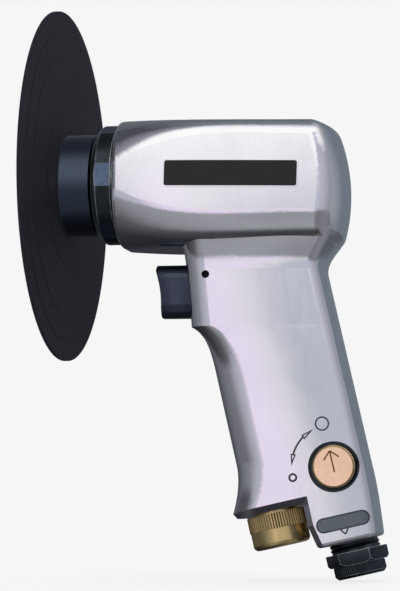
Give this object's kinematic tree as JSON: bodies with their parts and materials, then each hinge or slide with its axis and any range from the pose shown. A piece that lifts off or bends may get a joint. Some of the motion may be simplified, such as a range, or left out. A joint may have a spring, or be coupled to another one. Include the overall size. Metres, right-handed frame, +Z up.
{
  "type": "pneumatic disc sander",
  "caption": "Pistol-grip air sander: round flexible pad on a spindle, polished cast barrel and grip, sliding trigger, flow regulator, brass exhaust deflector and threaded air inlet.",
  "frame": {"origin": "on the spindle axis, in the plane of the pad's working face", "axes": "-X the way the pad's working face looks, along the spindle; +Z up, away from the air inlet; the flow regulator is on the -Y side"},
  "size_m": [0.1182, 0.127, 0.2046],
  "materials": {
    "cast_aluminium": "polished casting",
    "black_steel": "satin black",
    "pad_rubber": "matt black",
    "trigger_plastic": "gloss black",
    "copper": "turned, copper-coloured",
    "brass": "satin brass",
    "sintered_bronze": "rough",
    "bearing_steel": "ground",
    "steel": "turned",
    "seal_rubber": "matt black",
    "vane_plastic": "laminated"
  },
  "bodies": {
    "housing": {"motor_housing": "cast_aluminium", "clamp_nut": "black_steel", "spindle_seal": "seal_rubber", "front_end_plate": "steel", "rear_end_plate": "steel", "cylinder": "steel", "cylinder_dowel": "steel", "spring_washer": "steel", "front_bearing_outer": "bearing_steel", "rear_bearing_outer": "bearing_steel", "trigger_pin": "black_steel", "plunger_bush": "steel", "plunger_seal": "seal_rubber", "throttle_seat": "steel", "throttle_spring": "steel", "spring_ring": "steel", "regulator_ring": "black_steel", "inlet_bushing": "black_steel", "inlet_screen": "sintered_bronze", "deflector_ring": "steel"},
    "spindle": {"rotor_shaft": "steel", "rotor_vanes": "vane_plastic", "arbor_spacer": "steel", "front_bearing_inner": "bearing_steel", "rear_bearing_inner": "bearing_steel", "pad_insert": "steel", "sanding_pad": "pad_rubber", "pad_nut": "steel"},
    "front_balls": {"front_bearing_balls": "bearing_steel"},
    "rear_balls": {"rear_bearing_balls": "bearing_steel"},
    "trigger": {"trigger": "trigger_plastic"},
    "throttle": {"throttle_valve": "steel"},
    "regulator": {"regulator_valve": "copper", "regulator_seal": "seal_rubber"},
    "deflector": {"exhaust_deflector": "brass", "muffler_element": "sintered_bronze"}
  },
  "joints": [
    {"name": "spindle_spin", "type": "hinge", "parent": "housing", "child": "spindle", "pos_m": [0, 0, 0], "axis": [1, 0, 0], "continuous": true},
    {"name": "front_balls_orbit", "type": "hinge", "parent": "housing", "child": "front_balls", "pos_m": [0, 0, 0], "axis": [1, 0, 0], "continuous": true},
    {"name": "rear_balls_orbit", "type": "hinge", "parent": "housing", "child": "rear_balls", "pos_m": [0, 0, 0], "axis": [1, 0, 0], "continuous": true},
    {"name": "trigger_slide", "type": "slide", "parent": "housing", "child": "trigger", "axis": [1, 0, 0], "range_m": [0, 0.004], "stiffness_N_per_m": 1500, "springref_m": -0.003},
    {"name": "throttle_tilt", "type": "hinge", "parent": "housing", "child": "throttle", "pos_m": [0.08445, 0, -0.06031], "axis": [0, 1, 0], "range_deg": [0, 11.05], "deforming": ["throttle_spring"]},
    {"name": "regulator_turn", "type": "hinge", "parent": "housing", "child": "regulator", "pos_m": [0.1012, 0, -0.10177], "axis": [0, -1, 0], "range_deg": [0, 90]},
    {"name": "deflector_turn", "type": "hinge", "parent": "housing", "child": "deflector", "pos_m": [0.0777, 0, -0.1151], "axis": [-0.225, 0, 0.9744], "continuous": true}
  ],
  "couplings": [
    {"joint": "front_balls_orbit", "follows": "spindle_spin", "ratio": 0.3722},
    {"joint": "rear_balls_orbit", "follows": "spindle_spin", "ratio": 0.3733},
    {"joint": "throttle_tilt", "follows": "trigger_slide", "rad_per_m": 48}
  ]
}
